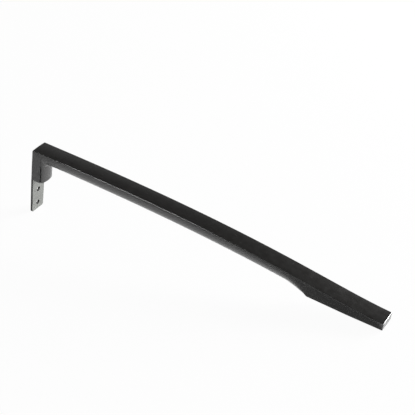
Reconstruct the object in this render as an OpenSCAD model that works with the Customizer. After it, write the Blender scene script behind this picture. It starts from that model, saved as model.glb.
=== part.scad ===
// Refrigerator door handle: a moulded bar that bows away from the door,
// a square leg over the door's end with a steel bracket moulded into it,
// and a foot that lands flat on the door face.
// X runs along the bar and Z stands away from the door.
// The shapes are drawn with the door face under the foot at z = 0 and moved as a whole,
// so that the origin is midway between the bracket's screw holes, on the face against the door's end.

/* [Bar] */
// Length from the outer side of the leg to the end of the foot
bar_length = 443; // [380:1:520]
// Width across the handle
bar_width = 23; // [20:0.5:28]
// Height of the top over the door face at the leg
top_height = 26.6; // [24:0.1:32]
// How far the top has come down at the end of the foot
end_drop = 16.5; // [14:0.1:18]
// Height that the bow's first control point stands over the top of the leg
bow_rise = 8.3; // [4:0.1:12]
// Distance of the bow's first control point from the leg
bow_reach = 294; // [240:1:300]
// Length of the level run-out at the foot
run_out = 79; // [50:1:100]
// Height that the bow's last control point stands over the end of the foot
run_out_rise = 1.3; // [0:0.1:3]
// Depth of the grip from its top to the crown of its underside
grip_depth = 16.8; // [14:0.1:18]
// Depth of the flat strip along each side of the grip, at the leg
strip_depth = 4.5; // [3:0.1:5]
// Depth of the strip where the grip flares into the foot
strip_end_depth = 2.9; // [2:0.1:4]
// Squareness of the grip's underside, where 2 is an ellipse
grip_squareness = 2.1; // [2:0.1:3]
// Rounding of the long outer edges
edge_round = 0.7; // [0.3:0.1:1.2]

/* [Leg] */
// Depth of the leg's flat sides along the bar
leg_depth = 12.1; // [10.5:0.1:15]
// Crown of the leg's inner face beyond the flat sides
leg_crown = 4.1; // [2:0.1:6]
// How far the leg reaches below the door face
leg_reach = 14.5; // [10:0.5:24]
// Fillet between the leg and the underside of the grip
crotch_fillet = 4; // [2:0.5:6]
// Width of the shadow groove beside the leg's inner face
groove_width = 0.9; // [0.5:0.1:1.5]
// Depth of the shadow groove
groove_depth = 1; // [0.5:0.1:1.5]

/* [Foot] */
// Length of the foot that stands on the door
foot_length = 87; // [80:1:110]
// Length over which the grip's underside flares into the foot
flare_length = 29; // [20:1:40]
// Fillet where the foot's side meets the strip
foot_fillet = 3.5; // [1:0.5:6]
// How far the foot's sides are set back under the strip
foot_setback = 0.2; // [0.1:0.05:0.25]
// Length of the relief along the lower edges at the foot's end
relief_length = 48; // [30:1:60]
// Height of the relief at the foot's end
relief_height = 4; // [2:0.1:6]
// How far the relief is set in at the foot's end
relief_inset = 1.4; // [0.5:0.1:2]
// Wall around the hollow in the foot's underside
foot_wall = 2.4; // [1.8:0.1:3]
// Thickness of the ribs across the hollow
rib = 1.6; // [1.2:0.1:2.4]
// Number of cells that the ribs leave
cells = 5; // [3:1:7]
// Length left solid at the end of the foot
end_pad = 13.2; // [8:0.1:20]
// Thickness left over the cells
roof = 2.6; // [2:0.1:3.5]
// Diameter of the screw boss
boss_d = 8; // [7:0.1:9]
// Diameter of the boss's pilot hole
pilot_d = 3.2; // [2.5:0.1:4]
// Depth of the pilot hole
pilot_depth = 8; // [6:0.5:9]

/* [Bracket] */
// Thickness of the steel
steel = 2.6; // [2:0.1:3.2]
// Width of the plate where it leaves the leg
plate_width = 22.4; // [18:0.1:23]
// Width of the plate at its tip
tip_width = 20.8; // [16:0.1:22]
// Length of the plate beyond the leg
plate_length = 46.8; // [42:0.1:56]
// Rounding of the plate's lower corners
corner_round = 2; // [1:0.1:4]
// Diameter of the screw holes
hole_d = 5.8; // [4.5:0.1:6.5]
// Distance between the screw holes
hole_spacing = 19.1; // [16:0.1:22]
// Distance from the tip to the lower hole
hole_edge = 9.3; // [7:0.1:12]
// Width of the tang inside the moulding
tang_width = 14; // [10:0.5:16]
// How far the tang is set in from the leg's outer side
tang_inset = 4; // [3:0.1:5]
// Length of the tang along the bar
tang_length = 52; // [30:1:80]
// Diameter of the holes that lock the tang in the moulding
lock_d = 5; // [4:0.1:6]
// Distance between the lock holes
lock_spacing = 14; // [10:1:20]
// Distance from the tang's end to the first lock hole
lock_edge = 9; // [6:0.5:12]

/* [Hidden] */

half = bar_width / 2;
ledge = 0.3;
round_half = half - ledge;
bed = 2.5;
bed_inset = 0.2;
// How far a cut runs past the face that it opens
over = 1;
// Smallest part of a direction that a length is divided by
least = 0.01;
// Squareness of a plain ellipse, and how fast the grip's section grows square in the flare
ellipse = 2;
flare_share = 0.9;
flare_power = 1.5;
foot_start = bar_length - foot_length;
flare_start = foot_start - flare_length;
bow_steps = 60;
strip_steps = 30;
foot_steps = 8;
corner_soft = 1.2;
leg_end = -leg_reach;
tip = leg_end - plate_length;
to_origin = [-steel, 0, -(tip + hole_edge + hole_spacing / 2)];
cheek_fillet = 5.5;
foot_lean = 3.5;
inner_bend = 3;
jog_height = 5;
tang_skin = 8;
cell_run = foot_length - foot_wall - end_pad + rib;
cell_pitch = cell_run / cells;
boss_x = foot_start + foot_wall + 1.5 * cell_pitch - rib / 2;

// Bow of the top, one cubic curve from the leg to the end of the foot
bow = [
    [0, top_height],
    [bow_reach, top_height + bow_rise],
    [bar_length - run_out, top_height - end_drop + run_out_rise],
    [bar_length, top_height - end_drop]
];

function cubic(p, t) =
    pow(1 - t, 3) * p[0] + 3 * t * pow(1 - t, 2) * p[1] + 3 * t * t * (1 - t) * p[2] + pow(t, 3) * p[3];

top_line = [for (i = [0:bow_steps]) cubic(bow, i / bow_steps)];

function top_z(x) = lookup(x, top_line);

function arc(centre, r, from, to, steps) =
    [for (i = [0:steps])
        let (a = from + (to - from) * i / steps)
        centre + r * [cos(a), sin(a)]];

// Height of the strip's lower edge and of the underside's crown
function strip_z(x) =
    top_z(x) - strip_depth + (strip_depth - strip_end_depth) * min(1, x / flare_start);
function flare(x) = min(1, max(0, (x - flare_start) / flare_length));
function crown_z(x) = (top_z(x) - grip_depth) * (1 - pow(flare(x), 2));

// Side view of the parts with flat sides, leg, strip and foot, as a ribbon:
// outer_edge runs up the leg and along the top, and inner_edge has a point across from each of its points
strip_gap = 2;
foot_corner_z = strip_z(foot_start - foot_lean);
crotch_z = strip_z(leg_depth + cheek_fillet) - cheek_fillet;
strip_end = foot_start - foot_lean - foot_fillet;
strip_line = [for (i = [0:strip_steps])
    let (k = i / strip_steps)
    (leg_depth + cheek_fillet + strip_gap) * (1 - k) + (strip_end - strip_gap) * k];
fillet_line = arc([strip_end, foot_corner_z - foot_fillet], foot_fillet, 85, 10, 4);
foot_line = [for (i = [0:foot_steps]) foot_start + (foot_length - 2 * corner_soft) * i / foot_steps];

outer_edge = concat(
    arc([corner_soft, leg_end + corner_soft], corner_soft, 270, 180, 3),
    arc([corner_soft, top_height - corner_soft], corner_soft, 180, 95, 4),
    [for (x = strip_line) [x, top_z(x)]],
    [for (p = fillet_line) [p[0], top_z(p[0])]],
    [for (x = foot_line) [x, top_z(x)]],
    arc([bar_length - corner_soft, top_z(bar_length) - corner_soft], corner_soft, 85, 0, 3)
);
inner_edge = concat(
    arc([leg_depth - corner_soft, leg_end + corner_soft], corner_soft, -90, 0, 3),
    arc([leg_depth + cheek_fillet, crotch_z], cheek_fillet, 180, 92, 4),
    [for (x = strip_line) [x, strip_z(x)]],
    fillet_line,
    [for (x = foot_line) [x, 0]],
    arc([bar_length - corner_soft, corner_soft], corner_soft, -85, 0, 3)
);
flat_outline = concat(outer_edge, [for (i = [len(inner_edge) - 1:-1:0]) inner_edge[i]]);

// Moves each corner of an outline inwards by d, square to its two sides
function inset(pts, d) =
    let (n = len(pts))
    [for (i = [0:n - 1])
        let (
            a = pts[(i + n - 1) % n],
            b = pts[i],
            c = pts[(i + 1) % n],
            u = (b - a) / norm(b - a),
            v = (c - b) / norm(c - b),
            normal_u = [u[1], -u[0]],
            normal_v = [v[1], -v[0]],
            mid = normal_u + normal_v
        )
        b + d * mid * 2 / (mid * mid)];

// End face of a loft, either one face or the quads across a ribbon
function cap(n, ribbon) = ribbon
    ? [for (i = [0:n / 2 - 2]) each [[i, i + 1, n - 2 - i], [i, n - 2 - i, n - 1 - i]]]
    : [[for (i = [0:n - 1]) i]];

// Skin over a list of closed rings with the same number of points
module loft(rings, ribbon = false) {
    n = len(rings[0]);
    points = [for (r = rings) each r];
    sides = [for (k = [0:len(rings) - 2], i = [0:n - 1])
        let (j = (i + 1) % n)
        each [
            [k * n + i, (k + 1) * n + j, k * n + j],
            [k * n + i, (k + 1) * n + i, (k + 1) * n + j]
        ]];
    top = (len(rings) - 1) * n;
    last = [for (face = cap(n, ribbon)) [for (i = [len(face) - 1:-1:0]) top + face[i]]];
    polyhedron(points, concat(cap(n, ribbon), sides, last));
}

// Extrusion of the flat-sided outline with its long edges rounded
module flat_part() {
    edge_steps = 3;
    cut = [for (i = [0:edge_steps]) edge_round * (1 - sin(90 * i / edge_steps))];
    side = [for (i = [0:edge_steps]) half - edge_round * (1 - cos(90 * i / edge_steps))];
    levels = concat(
        [for (i = [0:edge_steps]) [-side[i], cut[i]]],
        [for (i = [edge_steps:-1:0]) [side[i], cut[i]]]
    );
    loft([for (level = levels)
        [for (p = inset(flat_outline, level[1])) [p[0], level[0], p[1]]]], ribbon = true);
}

// One ring of the rounded part: crown point, outward direction, depth and squareness
function ring(crown, out, depth, square) =
    let (steps = 14)
    concat(
        [for (i = [0:steps])
            let (
                a = 180 * i / steps,
                y = -round_half * sign(cos(a)) * pow(abs(cos(a)), 2 / square),
                s = depth * (1 - pow(sin(a), 2 / square))
            )
            [crown[0] + s * out[0], y, crown[1] + s * out[1]]],
        [for (y = [round_half - bed_inset, -round_half + bed_inset])
            [crown[0] + (depth + bed) * out[0], y, crown[1] + (depth + bed) * out[1]]]
    );

// Rounded inner part, from the end of the leg round the crotch and along the grip into the foot
module rounded_part() {
    leg_x = leg_depth + leg_crown;
    corner = [leg_x + crotch_fillet, crown_z(leg_x + crotch_fillet) - crotch_fillet];
    bend_steps = 7;
    leg_rings = [for (z = [leg_end, leg_end + (corner[1] - leg_end) / 2])
        ring([leg_x, z], [-1, 0], leg_crown, ellipse)];
    bend_rings = [for (i = [0:bend_steps])
        let (
            a = 180 - 90 * i / bend_steps,
            out = [cos(a), sin(a)],
            to_leg = (corner[0] - leg_depth) / max(least, -out[0]),
            to_strip = (strip_z(corner[0]) - corner[1]) / max(least, out[1]),
            blend = i / bend_steps
        )
        ring(corner + crotch_fillet * out, out, min(to_leg, to_strip) - crotch_fillet,
            ellipse + (grip_squareness - ellipse) * blend)];
    grip_steps = 20;
    grip_rings = [for (i = [1:grip_steps])
        let (x = corner[0] + (flare_start - corner[0]) * i / grip_steps)
        ring([x, crown_z(x)], [0, 1], strip_z(x) - crown_z(x), grip_squareness)];
    flare_steps = 10;
    flare_rings = [for (i = [1:flare_steps + 1])
        let (
            x = flare_start + flare_length * i / flare_steps,
            square = grip_squareness / (1 - flare_share * pow(flare(x), flare_power))
        )
        ring([x, crown_z(x)], [0, 1], strip_z(x) - crown_z(x), square)];
    loft(concat(leg_rings, bend_rings, grip_rings, flare_rings));
}

// Shadow groove down each side of the leg
module leg_grooves() {
    top = strip_z(leg_depth) - cheek_fillet;
    for (side = [-1, 1])
        translate([
            leg_depth - groove_width / 2,
            side * (half - groove_depth / 2 + over / 2),
            (top + leg_end - over) / 2
        ])
            cube([groove_width, groove_depth + over, top - leg_end + over], center = true);
}

// Sets the foot's sides back below the strip, which stays proud all along the bar
module foot_sides() {
    line = concat([strip_end - strip_gap], foot_line, [bar_length + over]);
    for (side = [-1, 1])
        translate([0, side * (half - foot_setback / 2 + over / 2), 0])
            rotate([90, 0, 0])
                linear_extrude(foot_setback + over, center = true)
                    polygon(concat(
                        [for (x = line) [x, strip_z(x)]],
                        [[bar_length + over, -over], [strip_end - strip_gap, -over]]
                    ));
}

// Relief that grows along the foot's lower edges towards its end
module foot_relief() {
    start = bar_length - relief_length;
    past = bar_length + over;
    grow = (past - start) / relief_length;
    out = 2 * over;
    for (side = [0, 1])
        mirror([0, side, 0])
            polyhedron(
                [
                    [start, half, 0],
                    [past, half, relief_height * grow],
                    [past, half - relief_inset * grow, 0],
                    [past, half + out, -out]
                ],
                [[0, 1, 2], [0, 2, 3], [0, 3, 1], [1, 3, 2]]
            );
}

// Hollow in the foot's underside, with ribs between its cells
module foot_hollow() {
    start = foot_start + foot_wall;
    for (i = [0:cells - 1]) {
        x0 = start + i * cell_pitch;
        x1 = x0 + cell_pitch - rib;
        rotate([90, 0, 0])
            linear_extrude(2 * (half - foot_wall), center = true)
                polygon([[x0, -over], [x1, -over], [x1, top_z(x1) - roof], [x0, top_z(x0) - roof]]);
    }
}

module screw_boss() {
    translate([boss_x, 0, 0])
        cylinder(d = boss_d, h = top_z(boss_x), $fn = 48);
}

// Side view of the tang: jog at the plate, leg, bend and run along the bar
module tang_outline() {
    bend_r = inner_bend + steel;
    bend_z = top_height - tang_skin - bend_r;
    bend_x = tang_inset + bend_r;
    polygon([
        [0, leg_end],
        [steel, leg_end],
        [tang_inset + steel, leg_end + jog_height],
        [tang_inset + steel, leg_end + jog_height + over],
        [tang_inset, leg_end + jog_height + over],
        [tang_inset, leg_end + jog_height]
    ]);
    translate([tang_inset, leg_end + jog_height])
        square([steel, bend_z - leg_end - jog_height]);
    translate([bend_x, bend_z])
        intersection() {
            difference() {
                circle(bend_r, $fn = 64);
                circle(inner_bend, $fn = 64);
            }
            translate([-bend_r, 0])
                square([bend_r, bend_r]);
        }
    translate([bend_x, bend_z + inner_bend])
        square([tang_length - bend_x, steel]);
}

module tang() {
    difference() {
        rotate([90, 0, 0])
            linear_extrude(tang_width, center = true)
                tang_outline();
        for (i = [0:1])
            translate([tang_length - lock_edge - i * lock_spacing, 0, 0])
                cylinder(d = lock_d, h = top_height, $fn = 48);
    }
}

module plate() {
    rotate([90, 0, 90])
        linear_extrude(steel)
            difference() {
                union() {
                    polygon([
                        [-plate_width / 2, leg_end],
                        [-tip_width / 2, tip + corner_round],
                        [-tip_width / 2 + corner_round, tip],
                        [tip_width / 2 - corner_round, tip],
                        [tip_width / 2, tip + corner_round],
                        [plate_width / 2, leg_end]
                    ]);
                    for (side = [-1, 1])
                        translate([side * (tip_width / 2 - corner_round), tip + corner_round])
                            circle(corner_round, $fn = 48);
                }
                for (i = [0:1])
                    translate([0, tip + hole_edge + i * hole_spacing])
                        circle(d = hole_d, $fn = 48);
            }
}

module handle_body() {
    color("#1d1b1a")
        translate(to_origin)
        difference() {
            union() {
                flat_part();
                rounded_part();
            }
            leg_grooves();
            foot_sides();
            foot_relief();
            tang();
            difference() {
                foot_hollow();
                screw_boss();
            }
            translate([boss_x, 0, -over])
                cylinder(d = pilot_d, h = pilot_depth + over, $fn = 48);
        }
}

module mounting_bracket() {
    color("#a2a29f")
        translate(to_origin)
        union() {
            plate();
            tang();
        }
}

handle_body();
mounting_bracket();
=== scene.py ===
"""Looks of the refrigerator door handle: black moulded body and plated steel bracket."""

import math

import bmesh
import bpy
import numpy as np
from mathutils import Matrix, Vector

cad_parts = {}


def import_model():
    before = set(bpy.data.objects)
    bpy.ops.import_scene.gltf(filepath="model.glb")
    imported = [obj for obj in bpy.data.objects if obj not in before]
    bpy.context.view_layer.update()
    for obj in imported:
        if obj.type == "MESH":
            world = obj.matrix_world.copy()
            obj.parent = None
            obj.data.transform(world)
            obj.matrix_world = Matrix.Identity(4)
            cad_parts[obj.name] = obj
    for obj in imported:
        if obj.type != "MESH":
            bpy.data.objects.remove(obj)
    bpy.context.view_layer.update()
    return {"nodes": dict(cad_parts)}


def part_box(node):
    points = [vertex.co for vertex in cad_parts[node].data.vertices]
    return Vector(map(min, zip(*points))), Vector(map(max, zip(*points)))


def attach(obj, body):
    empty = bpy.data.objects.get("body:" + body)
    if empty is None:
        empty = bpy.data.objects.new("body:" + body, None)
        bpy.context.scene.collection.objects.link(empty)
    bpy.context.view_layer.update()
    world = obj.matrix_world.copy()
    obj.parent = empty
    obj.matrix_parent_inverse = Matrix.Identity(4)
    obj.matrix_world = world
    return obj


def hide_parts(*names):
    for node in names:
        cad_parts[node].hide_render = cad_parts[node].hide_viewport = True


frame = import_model()

MM = 0.001
MERGE = 1e-7
BODY = "root"

# Sizes of the moulding in millimetres, in the drawing frame:
# X from the outer side of the leg, Z from the door face under the foot
BAR_LENGTH = 443.0
BAR_WIDTH = 23.0
TOP_HEIGHT = 26.6
END_DROP = 16.5
BOW_RISE = 8.3
BOW_REACH = 294.0
RUN_OUT = 79.0
RUN_OUT_RISE = 1.3
GRIP_DEPTH = 16.8
STRIP_DEPTH = 4.5
STRIP_END_DEPTH = 2.9
GRIP_SQUARENESS = 2.1
EDGE_ROUND = 0.7
# The underside starts this far in from the side
LEDGE = 0.3
# Rounding of the strip's lower edge
LIP = 0.2
# Height of the top's middle over its edges
TOP_CROWN = 0.4

LEG_DEPTH = 12.1
LEG_CROWN = 4.1
LEG_REACH = 14.5
LEG_SQUARENESS = 2.0
CROTCH_FILLET = 4.0
CHEEK_FILLET = 5.5
# Shadow groove between the leg's side and its inner face
GROOVE_WIDTH = 1.3
GROOVE_DEPTH = 1.8
# Radius over which the leg's outer face turns into the top
CORNER_SOFT = 1.2

FOOT_LENGTH = 87.0
FLARE_LENGTH = 29.0
# How far the section squares up along the flare, and how late
FLARE_SHARE = 0.9
FLARE_POWER = 1.5
FOOT_FILLET = 3.5
FOOT_LEAN = 3.5
FOOT_SETBACK = 0.2
RELIEF_LENGTH = 48.0
RELIEF_HEIGHT = 4.0
RELIEF_INSET = 1.4
FOOT_WALL = 2.4
RIB = 1.6
CELLS = 5
END_PAD = 13.2
ROOF = 2.6
BOSS_D = 8.0
PILOT_D = 3.2
PILOT_DEPTH = 8.0

# Steps of the loft along the handle
LEG_STEPS = 12
CORNER_STEPS = 6
CHEEK_STEPS = 12
CROTCH_STEPS = 14
GRIP_STEPS = 60
FLARE_STEPS = 16
FALL_STEPS = 8
FOOT_STEPS = 24
# How far the strip's lower edge is followed for the turn round the crotch
CHEEK_REACH = 40.0
CHEEK_POINTS = 8

# Points of half a section, from the middle of the top to the middle of the underside
TOP_POINTS = 9
ROUND_POINTS = 7
BAND_SHARES = (0.35, 0.7)
LIP_POINTS = 4
UNDER_POINTS = 29
END_ANGLES = (68, 45, 22, 0)
HOLE_STEPS = 48

# Edges sharper than this many degrees stay sharp
SHARP_ANGLE = 34

# Finish of the bracket: weld in metres, flat faces and edges in degrees, bevel in millimetres
BRACKET_WELD = 1e-6
BRACKET_FLAT = 1
BRACKET_BEVEL = 0.35
BRACKET_BEVEL_ANGLE = 40

# Colours and light
PLASTIC_DARK = (0.0090, 0.0083, 0.0076, 1)
PLASTIC_LIGHT = (0.0120, 0.0111, 0.0102, 1)
STEEL_DARK = (0.34, 0.348, 0.332, 1)
STEEL_LIGHT = (0.39, 0.398, 0.38, 1)
# Painted shade for the bracket's cut edges and hole walls
STEEL_EDGE_PAINTED_SHADE = (0.11, 0.11, 0.105, 1)
FLOOR_PAINT = (0.9, 0.9, 0.9, 1)
WHITE = (1, 1, 1, 1)
# Share of plain white in the floor as the camera sees it, and as reflections see it
SEEN_WHITE = 0.96
MIRRORED_WHITE = 0.12
FLOOR_SIZE = 6.0
FLOOR_GAP = 0.0002

CAMERA_SPOT = Vector((0.63883, -0.88853, 0.81415))
CAMERA_AIM = Vector((0.22065, -0.00019, 0.08841))

HALF = BAR_WIDTH / 2
FOOT_START = BAR_LENGTH - FOOT_LENGTH
FLARE_START = FOOT_START - FLARE_LENGTH
LEG_END = -LEG_REACH
CELL_PITCH = (FOOT_LENGTH - FOOT_WALL - END_PAD + RIB) / CELLS
# How far cutting tools reach past the body
OVER = 1.0
BOSS_X = FOOT_START + FOOT_WALL + 1.5 * CELL_PITCH - RIB / 2

# Where the drawing frame lies in the row frame
body_low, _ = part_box("handle_body")
plate_low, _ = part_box("mounting_bracket")
ORIGIN = Vector((body_low.x, 0, body_low.z + LEG_REACH * MM))


def place(x, y, z):
    """A point of the drawing frame in the row frame."""
    return ORIGIN + Vector((x, y, z)) * MM


def bow_line(samples=400):
    """Points along the top, one cubic curve from the leg to the end of the foot."""
    p = np.array([
        [0, TOP_HEIGHT],
        [BOW_REACH, TOP_HEIGHT + BOW_RISE],
        [BAR_LENGTH - RUN_OUT, TOP_HEIGHT - END_DROP + RUN_OUT_RISE],
        [BAR_LENGTH, TOP_HEIGHT - END_DROP],
    ])
    t = np.linspace(0, 1, samples)[:, None]
    first, second, third, fourth = (1 - t) ** 3, 3 * t * (1 - t) ** 2, 3 * t * t * (1 - t), t ** 3
    return first * p[0] + second * p[1] + third * p[2] + fourth * p[3]


TOP_LINE = bow_line()


def top_z(x):
    """Height of the top's middle line."""
    return float(np.interp(x, TOP_LINE[:, 0], TOP_LINE[:, 1]))


def strip_z(x):
    """Height of the lower edge of the strip along each side."""
    taper = min(1.0, x / FLARE_START)
    return top_z(x) - STRIP_DEPTH + (STRIP_DEPTH - STRIP_END_DEPTH) * taper


def flare(x):
    """Runs from 0 at the grip to 1 where the foot starts."""
    return min(1.0, max(0.0, (x - FLARE_START) / FLARE_LENGTH))


def crown_z(x):
    """Height of the middle line of the underside."""
    return (top_z(x) - GRIP_DEPTH) * (1 - flare(x) ** 2)


def arc(centre, radius, start, end, steps):
    """Points on an arc in side view, angles in degrees."""
    angles = np.radians(np.linspace(start, end, steps + 1))
    return [np.array(centre) + radius * np.array([math.cos(a), math.sin(a)]) for a in angles]


def crossing(start, direction, outline):
    """Where a ray from start first crosses an outline that is a list of points."""
    parallel = 1e-9
    slack = 1e-6
    best = None
    for a, b in zip(outline, outline[1:]):
        side = b - a
        det = direction[0] * -side[1] + direction[1] * side[0]
        if abs(det) < parallel:
            continue
        gap = a - start
        along = (gap[0] * -side[1] + gap[1] * side[0]) / det
        share = (direction[0] * gap[1] - direction[1] * gap[0]) / det
        meets = along > 0 and -slack <= share <= 1 + slack
        if meets and (best is None or along < best):
            best = along
    return start + best * direction


def side_profile():
    """Stations of the loft: outer, band, side and crown points, squareness and groove share."""
    stations = []
    leg_x = LEG_DEPTH + LEG_CROWN
    crotch = np.array([leg_x + CROTCH_FILLET, crown_z(leg_x + CROTCH_FILLET) - CROTCH_FILLET])
    for z in np.linspace(LEG_END + EDGE_ROUND, crotch[1], LEG_STEPS)[:-1]:
        side = np.array([LEG_DEPTH, z])
        stations.append((np.array([0, z]), side, side, np.array([leg_x, z]), LEG_SQUARENESS, 1.0))

    cheek_z = strip_z(LEG_DEPTH + CHEEK_FILLET) - CHEEK_FILLET
    inner = [np.array([LEG_DEPTH, LEG_END])]
    inner += arc((LEG_DEPTH + CHEEK_FILLET, cheek_z), CHEEK_FILLET, 180, 90, CHEEK_STEPS)
    cheek_x = np.linspace(LEG_DEPTH + CHEEK_FILLET + 1, CHEEK_REACH, CHEEK_POINTS)
    inner += [np.array([x, strip_z(x)]) for x in cheek_x]
    face_z = np.linspace(crotch[1], TOP_HEIGHT - CORNER_SOFT, LEG_STEPS)[:-1]
    outer = [np.array([0, z]) for z in face_z]
    outer += arc((CORNER_SOFT, TOP_HEIGHT - CORNER_SOFT), CORNER_SOFT, 180, 90, CORNER_STEPS)
    top_x = np.linspace(CORNER_SOFT, crotch[0], CROTCH_STEPS)[1:]
    outer += [np.array([x, top_z(x)]) for x in top_x]
    for point in outer:
        ray = (point - crotch) / np.linalg.norm(point - crotch)
        share = min(1.0, max(0.0, math.degrees(math.atan2(ray[1], -ray[0])) / 90))
        square = LEG_SQUARENESS + (GRIP_SQUARENESS - LEG_SQUARENESS) * share
        groove = max(0.0, 1 - 2 * share)
        side = crossing(crotch, ray, inner)
        stations.append((point, side, side, crotch + CROTCH_FILLET * ray, square, groove))

    strip_end = FOOT_START - FOOT_LEAN - FOOT_FILLET
    fillet_z = strip_z(FOOT_START - FOOT_LEAN) - FOOT_FILLET
    fall = [np.array([strip_end - 1, strip_z(strip_end - 1)])]
    fall += arc((strip_end, fillet_z), FOOT_FILLET, 90, 10, FALL_STEPS)
    fall.append(np.array([FOOT_START, 0.0]))
    fall = np.array(fall)
    grip = list(np.linspace(crotch[0], FLARE_START, GRIP_STEPS)[1:])
    grip += list(np.linspace(FLARE_START, strip_end, FLARE_STEPS)[1:])
    grip += list(np.linspace(strip_end, FOOT_START, FOOT_STEPS)[1:])
    grip += list(np.linspace(FOOT_START, BAR_LENGTH - EDGE_ROUND, FOOT_STEPS)[1:])
    for x in grip:
        if x <= strip_end:
            low = strip_z(x)
        elif x < FOOT_START:
            low = min(strip_z(x), float(np.interp(x, fall[:, 0], fall[:, 1])))
        else:
            low = 0.0
        square = GRIP_SQUARENESS / (1 - FLARE_SHARE * flare(x) ** FLARE_POWER)
        points = [np.array([x, z]) for z in (top_z(x), strip_z(x), low, min(low, crown_z(x)))]
        stations.append((*points, square, 0.0))
    return stations


def half_section(band, depth, full_depth, square, groove, shrink):
    """One side of a section as (y, depth) pairs: outer face, band, side or groove, and crown."""
    half = HALF - shrink
    depth = min(depth, full_depth - shrink)
    drop = TOP_CROWN * (1 - groove)
    flat_y = np.linspace(0, half - EDGE_ROUND, TOP_POINTS)
    points = [(y, shrink + drop * (y / half) ** 2) for y in flat_y]
    start = points[-1][1]
    for a in np.linspace(0, math.pi / 2, ROUND_POINTS)[1:]:
        points.append((half - EDGE_ROUND * (1 - math.sin(a)), start + EDGE_ROUND * (1 - math.cos(a))))
    start += EDGE_ROUND
    for share in BAND_SHARES:
        points.append((half, start + (band - LIP - start) * share))
    for a in np.linspace(0, math.pi / 2, LIP_POINTS):
        points.append((half - LIP * (1 - math.cos(a)), band - LIP * (1 - math.sin(a))))
    wall = half - FOOT_SETBACK * (1 - groove) - GROOVE_DEPTH * groove
    gap = GROOVE_WIDTH * groove
    points += [(wall, band), (wall, depth + gap)]
    round_half = half - LEDGE
    rise = full_depth - shrink - depth
    start = math.asin((gap / rise) ** (square / 2)) if gap else 0.0
    power = 2 / square
    for a in np.linspace(start, math.pi / 2, UNDER_POINTS):
        points.append((round_half * math.cos(a) ** power, depth + rise * math.sin(a) ** power))
    return points


def section(station, shrink=0.0):
    """Closed ring of points in the row frame at one station."""
    outer, band, side, crown, square, groove = station
    reach = np.linalg.norm(crown - outer)
    inwards = (crown - outer) / reach
    depths = [np.linalg.norm(point - outer) for point in (band, side)]
    pairs = half_section(*depths, reach, square, groove, shrink)
    ring = pairs + [(-y, t) for y, t in reversed(pairs[1:-1])]
    return [place(outer[0] + inwards[0] * t, y, outer[1] + inwards[1] * t) for y, t in ring]


def solid(name, points, faces):
    """Closed mesh object with its faces turned outwards."""
    mesh = bpy.data.meshes.new(name)
    mesh.from_pydata(points, [], faces)
    made = bmesh.new()
    made.from_mesh(mesh)
    bmesh.ops.remove_doubles(made, verts=made.verts, dist=MERGE)
    bmesh.ops.dissolve_degenerate(made, edges=made.edges, dist=MERGE)
    bmesh.ops.recalc_face_normals(made, faces=made.faces)
    made.to_mesh(mesh)
    made.free()
    piece = bpy.data.objects.new(name, mesh)
    bpy.context.scene.collection.objects.link(piece)
    return piece


def loft(name, rings):
    """Closed mesh over rings that have as many points each, with a face on both ends."""
    count = len(rings[0])
    points = [p for ring in rings for p in ring]
    faces = [tuple(range(count))]
    for k in range(len(rings) - 1):
        for i in range(count):
            j = (i + 1) % count
            faces.append((k * count + i, (k + 1) * count + i, (k + 1) * count + j, k * count + j))
    last = (len(rings) - 1) * count
    faces.append(tuple(reversed(range(last, last + count))))
    return solid(name, points, faces)


def prism(name, outline, low, high):
    """Closed prism across Y from low to high, over an outline of (x, z) points."""
    rings = [[place(x, y, z) for x, z in outline] for y in (low, high)]
    return loft(name, rings)


def cylinder(name, x, diameter, low, high):
    """Upright cylinder at a place along the bar."""
    rings = []
    for z in (low, high):
        turn = np.linspace(0, 2 * math.pi, HOLE_STEPS, endpoint=False)
        circle = [(diameter / 2 * math.cos(a), diameter / 2 * math.sin(a)) for a in turn]
        rings.append([place(x + along, across, z) for along, across in circle])
    return loft(name, rings)


def combine(piece, tool, operation):
    """Cuts the tool out of the piece or adds it, and removes the tool."""
    cut = piece.modifiers.new("combine", "BOOLEAN")
    cut.operation = operation
    cut.solver = "EXACT"
    cut.object = tool
    bpy.context.view_layer.update()
    shape = piece.evaluated_get(bpy.context.evaluated_depsgraph_get())
    mesh = bpy.data.meshes.new_from_object(shape)
    piece.modifiers.clear()
    piece.data = mesh
    bpy.data.objects.remove(tool)


def soft_end(station, step):
    """Rings that round a section off over its end, which lies a little further along the step."""
    rings = []
    for a in np.radians(END_ANGLES):
        move = np.array(step) * EDGE_ROUND * math.cos(a)
        moved = [point + move for point in station[:4]]
        rings.append(section((*moved, *station[4:]), EDGE_ROUND * (1 - math.sin(a))))
    return rings


def cut_foot_relief(body):
    """Relief that grows along the foot's lower edges towards its end."""
    start = BAR_LENGTH - RELIEF_LENGTH
    past = BAR_LENGTH + OVER
    grow = (past - start) / RELIEF_LENGTH
    for side in (-1, 1):
        corners = [
            place(start, side * HALF, 0),
            place(past, side * HALF, RELIEF_HEIGHT * grow),
            place(past, side * (HALF - RELIEF_INSET * grow), 0),
            place(past, side * (HALF + 2 * OVER), -2 * OVER),
        ]
        wedge = solid("relief_tool", corners, [(0, 1, 2), (0, 2, 3), (0, 3, 1), (1, 3, 2)])
        combine(body, wedge, "DIFFERENCE")


def cut_foot_hollow(body):
    """Cells in the foot's underside with a screw boss in the second one."""
    for i in range(CELLS):
        x0 = FOOT_START + FOOT_WALL + i * CELL_PITCH
        x1 = x0 + CELL_PITCH - RIB
        outline = [(x0, -OVER), (x1, -OVER), (x1, top_z(x1) - ROOF), (x0, top_z(x0) - ROOF)]
        cell = prism("cell_tool", outline, FOOT_WALL - HALF, HALF - FOOT_WALL)
        combine(body, cell, "DIFFERENCE")
    boss = cylinder("boss_tool", BOSS_X, BOSS_D, 0, top_z(BOSS_X) - ROOF / 2)
    combine(body, boss, "UNION")
    pilot = cylinder("pilot_tool", BOSS_X, PILOT_D, -OVER, PILOT_DEPTH)
    combine(body, pilot, "DIFFERENCE")


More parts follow.
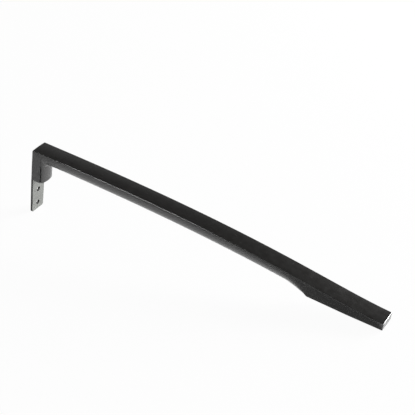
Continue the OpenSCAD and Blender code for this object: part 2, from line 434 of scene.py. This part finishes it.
def moulded_body():
    """The whole black moulding as one closed mesh."""
    stations = side_profile()
    rings = list(reversed(soft_end(stations[0], (0, -1))))
    rings += [section(station) for station in stations]
    rings += soft_end(stations[-1], (1, 0))
    body = loft("moulded_body", rings)
    cut_foot_relief(body)
    cut_foot_hollow(body)
    body.data.shade_smooth()
    body.data.set_sharp_from_angle(angle=math.radians(SHARP_ANGLE))
    even = body.modifiers.new("even", "WEIGHTED_NORMAL")
    even.keep_sharp = True
    return body


def dressed_bracket():
    """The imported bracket, with its edges broken by a small bevel."""
    bracket = frame["nodes"]["mounting_bracket"]
    bracket.modifiers.new("weld", "WELD").merge_threshold = BRACKET_WELD
    flat = bracket.modifiers.new("flat", "DECIMATE")
    flat.decimate_type = "DISSOLVE"
    flat.angle_limit = math.radians(BRACKET_FLAT)
    bevel = bracket.modifiers.new("bevel", "BEVEL")
    bevel.width = BRACKET_BEVEL * MM
    bevel.segments = 3
    bevel.limit_method = "ANGLE"
    bevel.angle_limit = math.radians(BRACKET_BEVEL_ANGLE)
    bevel.harden_normals = True
    return bracket


class Nodes:
    """Short way to make and join the nodes of a material."""

    def __init__(self, tree):
        self.tree = tree

    def add(self, kind, **settings):
        node = self.tree.nodes.new(kind)
        for name, value in settings.items():
            setattr(node, name, value)
        return node

    def join(self, source, target):
        self.tree.links.new(source, target)


def new_material(name):
    """Material with its nodes and its main shader."""
    material = bpy.data.materials.new(name)
    material.use_nodes = True
    nodes = Nodes(material.node_tree)
    shader = material.node_tree.nodes["Principled BSDF"]
    return material, nodes, shader


def noise(nodes, place_from, scale, detail=3.0):
    """Even noise over the positions given, with its scale per metre."""
    made = nodes.add("ShaderNodeTexNoise")
    made.inputs["Scale"].default_value = scale
    made.inputs["Detail"].default_value = detail
    nodes.join(place_from, made.inputs["Vector"])
    return made.outputs["Fac"]


def span(nodes, value, low, high, start=0.3, end=0.7):
    """Maps a texture's value from start..end to low..high."""
    made = nodes.add("ShaderNodeMapRange")
    for name, number in (("From Min", start), ("From Max", end), ("To Min", low), ("To Max", high)):
        made.inputs[name].default_value = number
    nodes.join(value, made.inputs["Value"])
    return made.outputs["Result"]


def plastic():
    """Black moulding with a glossy skin over it."""
    material, nodes, shader = new_material("black_plastic")
    where = nodes.add("ShaderNodeNewGeometry").outputs["Position"]
    colour = nodes.add("ShaderNodeMix", data_type="RGBA")
    colour.inputs["A"].default_value = PLASTIC_DARK
    colour.inputs["B"].default_value = PLASTIC_LIGHT
    nodes.join(noise(nodes, where, scale=45), colour.inputs["Factor"])
    nodes.join(colour.outputs["Result"], shader.inputs["Base Color"])
    rough = span(nodes, noise(nodes, where, scale=130), low=0.28, high=0.36)
    nodes.join(rough, shader.inputs["Roughness"])
    shader.inputs["IOR"].default_value = 1.5
    shader.inputs["Coat Weight"].default_value = 1.0
    shader.inputs["Coat IOR"].default_value = 1.8
    coat_rough = span(nodes, noise(nodes, where, scale=90), low=0.10, high=0.15)
    nodes.join(coat_rough, shader.inputs["Coat Roughness"])
    bump = nodes.add("ShaderNodeBump")
    bump.inputs["Strength"].default_value = 0.12
    bump.inputs["Distance"].default_value = 0.02 * MM
    nodes.join(noise(nodes, where, scale=2600, detail=2.0), bump.inputs["Height"])
    nodes.join(bump.outputs["Normal"], shader.inputs["Normal"])
    return material


def steel():
    """Dull plated steel, with painted shade on the cut edges and hole walls: every face not turned
    along X is coloured darker.
    """
    material, nodes, shader = new_material("plated_steel")
    place_in = nodes.add("ShaderNodeNewGeometry")
    where = place_in.outputs["Position"]
    face = nodes.add("ShaderNodeMix", data_type="RGBA")
    face.inputs["A"].default_value = STEEL_DARK
    face.inputs["B"].default_value = STEEL_LIGHT
    nodes.join(noise(nodes, where, scale=260, detail=4.0), face.inputs["Factor"])
    split = nodes.add("ShaderNodeSeparateXYZ")
    nodes.join(place_in.outputs["Normal"], split.inputs["Vector"])
    level = nodes.add("ShaderNodeMath", operation="ABSOLUTE")
    nodes.join(split.outputs["X"], level.inputs[0])
    # Painted shade: faces whose normal turns away from X take the dark edge colour
    colour = nodes.add("ShaderNodeMix", data_type="RGBA")
    colour.inputs["A"].default_value = STEEL_EDGE_PAINTED_SHADE
    nodes.join(face.outputs["Result"], colour.inputs["B"])
    unshaded_share = span(nodes, level.outputs["Value"], low=0.0, high=1.0, start=0.5, end=0.9)
    nodes.join(unshaded_share, colour.inputs["Factor"])
    nodes.join(colour.outputs["Result"], shader.inputs["Base Color"])
    rough = span(nodes, noise(nodes, where, scale=700, detail=4.0), low=0.38, high=0.52)
    nodes.join(rough, shader.inputs["Roughness"])
    shader.inputs["Metallic"].default_value = 0.85
    bump = nodes.add("ShaderNodeBump")
    bump.inputs["Strength"].default_value = 0.15
    bump.inputs["Distance"].default_value = 0.03 * MM
    nodes.join(noise(nodes, where, scale=3500), bump.inputs["Height"])
    nodes.join(bump.outputs["Normal"], shader.inputs["Normal"])
    return material


# The handle stands on the plate's tip and the foot's end, so the floor slopes in the row frame
TIP = Vector(((plate_low.x + ORIGIN.x) / 2, 0, plate_low.z))
HEEL = place(BAR_LENGTH, 0, 0)
slope = (HEEL - TIP).normalized()
floor_up = slope.cross(Vector((0, 1, 0)))


def floor_material():
    """White floor: near white to the camera, while reflections see it lit and shaded.

    From below it is clear, so that the underside can be seen.
    """
    material = bpy.data.materials.new("floor")
    material.use_nodes = True
    nodes = Nodes(material.node_tree)
    for node in list(material.node_tree.nodes):
        material.node_tree.nodes.remove(node)
    out = nodes.add("ShaderNodeOutputMaterial")
    paint = nodes.add("ShaderNodeBsdfDiffuse")
    paint.inputs["Color"].default_value = FLOOR_PAINT
    glow = nodes.add("ShaderNodeEmission")
    glow.inputs["Strength"].default_value = 1.0
    path = nodes.add("ShaderNodeLightPath")
    seen = nodes.add("ShaderNodeMath", operation="MULTIPLY")
    seen.inputs[1].default_value = SEEN_WHITE
    nodes.join(path.outputs["Is Camera Ray"], seen.inputs[0])
    share = nodes.add("ShaderNodeMath", operation="MULTIPLY_ADD")
    share.inputs[1].default_value = MIRRORED_WHITE
    nodes.join(path.outputs["Is Glossy Ray"], share.inputs[0])
    nodes.join(seen.outputs[0], share.inputs[2])
    mix = nodes.add("ShaderNodeMixShader")
    nodes.join(share.outputs[0], mix.inputs["Fac"])
    nodes.join(paint.outputs["BSDF"], mix.inputs[1])
    nodes.join(glow.outputs["Emission"], mix.inputs[2])
    clear = nodes.add("ShaderNodeBsdfTransparent")
    side = nodes.add("ShaderNodeNewGeometry")
    shown = nodes.add("ShaderNodeMixShader")
    nodes.join(side.outputs["Backfacing"], shown.inputs["Fac"])
    nodes.join(mix.outputs["Shader"], shown.inputs[1])
    nodes.join(clear.outputs["BSDF"], shown.inputs[2])
    nodes.join(shown.outputs["Shader"], out.inputs["Surface"])
    return material


def floor():
    """Floor under the plate's tip and the foot's end."""
    centre = (TIP + HEEL) / 2 - floor_up * FLOOR_GAP
    across = Vector((0, 1, 0)) * FLOOR_SIZE / 2
    along = slope * FLOOR_SIZE / 2
    mesh = bpy.data.meshes.new("floor")
    near = centre - across
    far = centre + across
    corners = [near - along, near + along, far + along, far - along]
    mesh.from_pydata(corners, [], [(0, 1, 2, 3)])
    made = bpy.data.objects.new("floor", mesh)
    bpy.context.scene.collection.objects.link(made)
    made.data.materials.append(floor_material())


def camera():
    """Camera at the photograph's viewpoint, upright over the sloping floor."""
    forward = (CAMERA_AIM - CAMERA_SPOT).normalized()
    right = forward.cross(floor_up).normalized()
    up = right.cross(forward)
    data = bpy.data.cameras.new("camera")
    data.sensor_width = 36
    data.lens = 99.3
    data.clip_start = 0.01
    made = bpy.data.objects.new("camera", data)
    turn = Matrix((right, up, -forward)).transposed().to_4x4()
    made.matrix_world = Matrix.Translation(CAMERA_SPOT) @ turn
    bpy.context.scene.collection.objects.link(made)
    bpy.context.scene.camera = made


def softbox(name, spot, aim, size, watts):
    """Rectangular lamp at a spot, turned to its aim."""
    data = bpy.data.lights.new(name, "AREA")
    data.shape = "RECTANGLE"
    data.size = size[0]
    data.size_y = size[1]
    data.energy = watts
    made = bpy.data.objects.new(name, data)
    made.location = spot
    made.rotation_mode = "QUATERNION"
    made.rotation_quaternion = (Vector(aim) - Vector(spot)).to_track_quat("-Z", "Y")
    bpy.context.scene.collection.objects.link(made)
    return made


def world():
    """Even pale surroundings for the camera, dimmer above for what the plastic reflects."""
    made = bpy.data.worlds.new("surroundings")
    bpy.context.scene.world = made
    made.use_nodes = True
    nodes = Nodes(made.node_tree)
    light = made.node_tree.nodes["Background"]
    light.inputs["Color"].default_value = WHITE
    place_in = nodes.add("ShaderNodeTexCoord")
    split = nodes.add("ShaderNodeSeparateXYZ")
    nodes.join(place_in.outputs["Generated"], split.inputs["Vector"])
    fade = span(nodes, split.outputs["Z"], low=0.6, high=0.035, start=0.03, end=0.6)
    path = nodes.add("ShaderNodeLightPath")
    seen = nodes.add("ShaderNodeMix", data_type="FLOAT")
    nodes.join(path.outputs["Is Camera Ray"], seen.inputs["Factor"])
    nodes.join(fade, seen.inputs["A"])
    seen.inputs["B"].default_value = 1.0
    nodes.join(seen.outputs["Result"], light.inputs["Strength"])


body_piece = moulded_body()
body_piece.data.materials.clear()
body_piece.data.materials.append(plastic())
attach(body_piece, BODY)
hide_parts("handle_body")

bracket_piece = dressed_bracket()
bracket_piece.data.materials.clear()
bracket_piece.data.materials.append(steel())

floor()
camera()
softbox("back", spot=(1.5, 1.9, 0.92), aim=(0.2, 0, 0.03), size=(1.4, 0.8), watts=142)
# Small lamp that only reflections see, for the light line along the top's edge
sheen = softbox("overhead", spot=(-0.31, -0.18, 1.16), aim=(0.05, 0, 0.06), size=(0.3, 0.5), watts=6)
sheen.visible_diffuse = False
world()
bpy.context.scene.view_settings.view_transform = "Standard"
